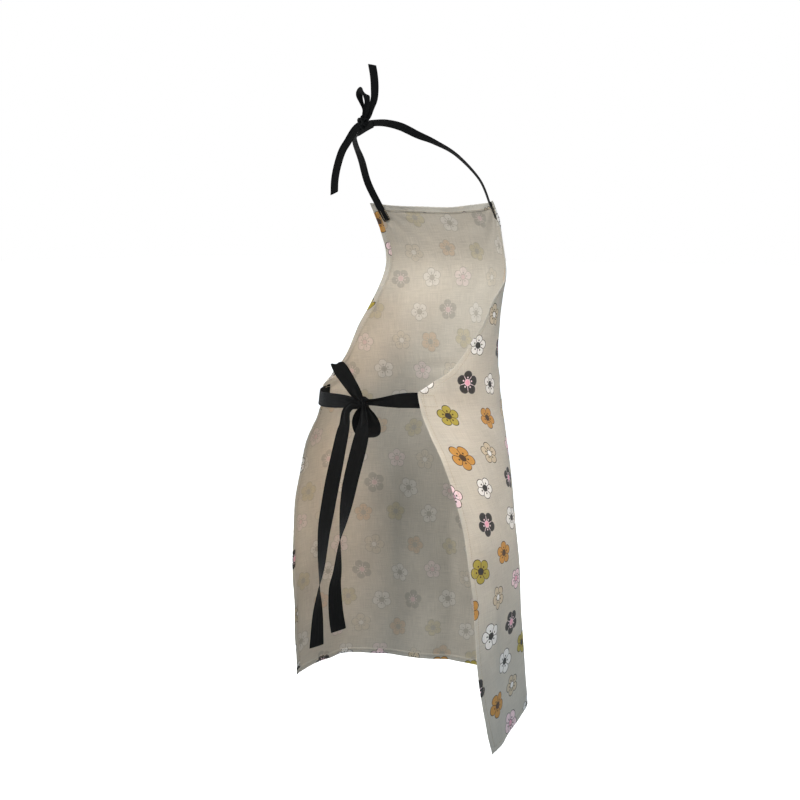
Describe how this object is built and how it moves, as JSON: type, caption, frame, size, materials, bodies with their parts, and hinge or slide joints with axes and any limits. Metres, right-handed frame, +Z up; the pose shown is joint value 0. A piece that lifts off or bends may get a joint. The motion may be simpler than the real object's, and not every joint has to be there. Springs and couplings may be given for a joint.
{
  "type": "kitchen apron",
  "caption": "Bib apron of natural printed cloth in its worn, draped form, with black neck tapes tied in a half bow at the nape and black waist tapes tied in a bow at the back",
  "frame": {"origin": "centre of the neck loop, level with the nape, where the wearer's neck carries the apron", "axes": "+Z up along the wearer's spine, -Y toward the wearer's front, +X toward the wearer's left"},
  "size_m": [0.376, 0.311, 0.913],
  "materials": {
    "natural_cloth": "unbleached linen-cotton plain weave with a scattered print of small blossoms on the outside, plain inside",
    "black_tape": "black woven cotton tape, matte"
  },
  "bodies": {
    "root": {"apron_body": "natural_cloth", "neck_tape_right": "black_tape", "neck_tape_left": "black_tape", "neck_knot": "black_tape", "neck_bow_loop": "black_tape", "neck_tail_up": "black_tape", "neck_tail_down": "black_tape", "waist_tape_right": "black_tape", "waist_tape_left": "black_tape", "waist_knot": "black_tape", "waist_bow_loop_upper": "black_tape", "waist_bow_loop_lower": "black_tape", "waist_tail_left": "black_tape", "waist_tail_right": "black_tape"}
  },
  "joints": []
}
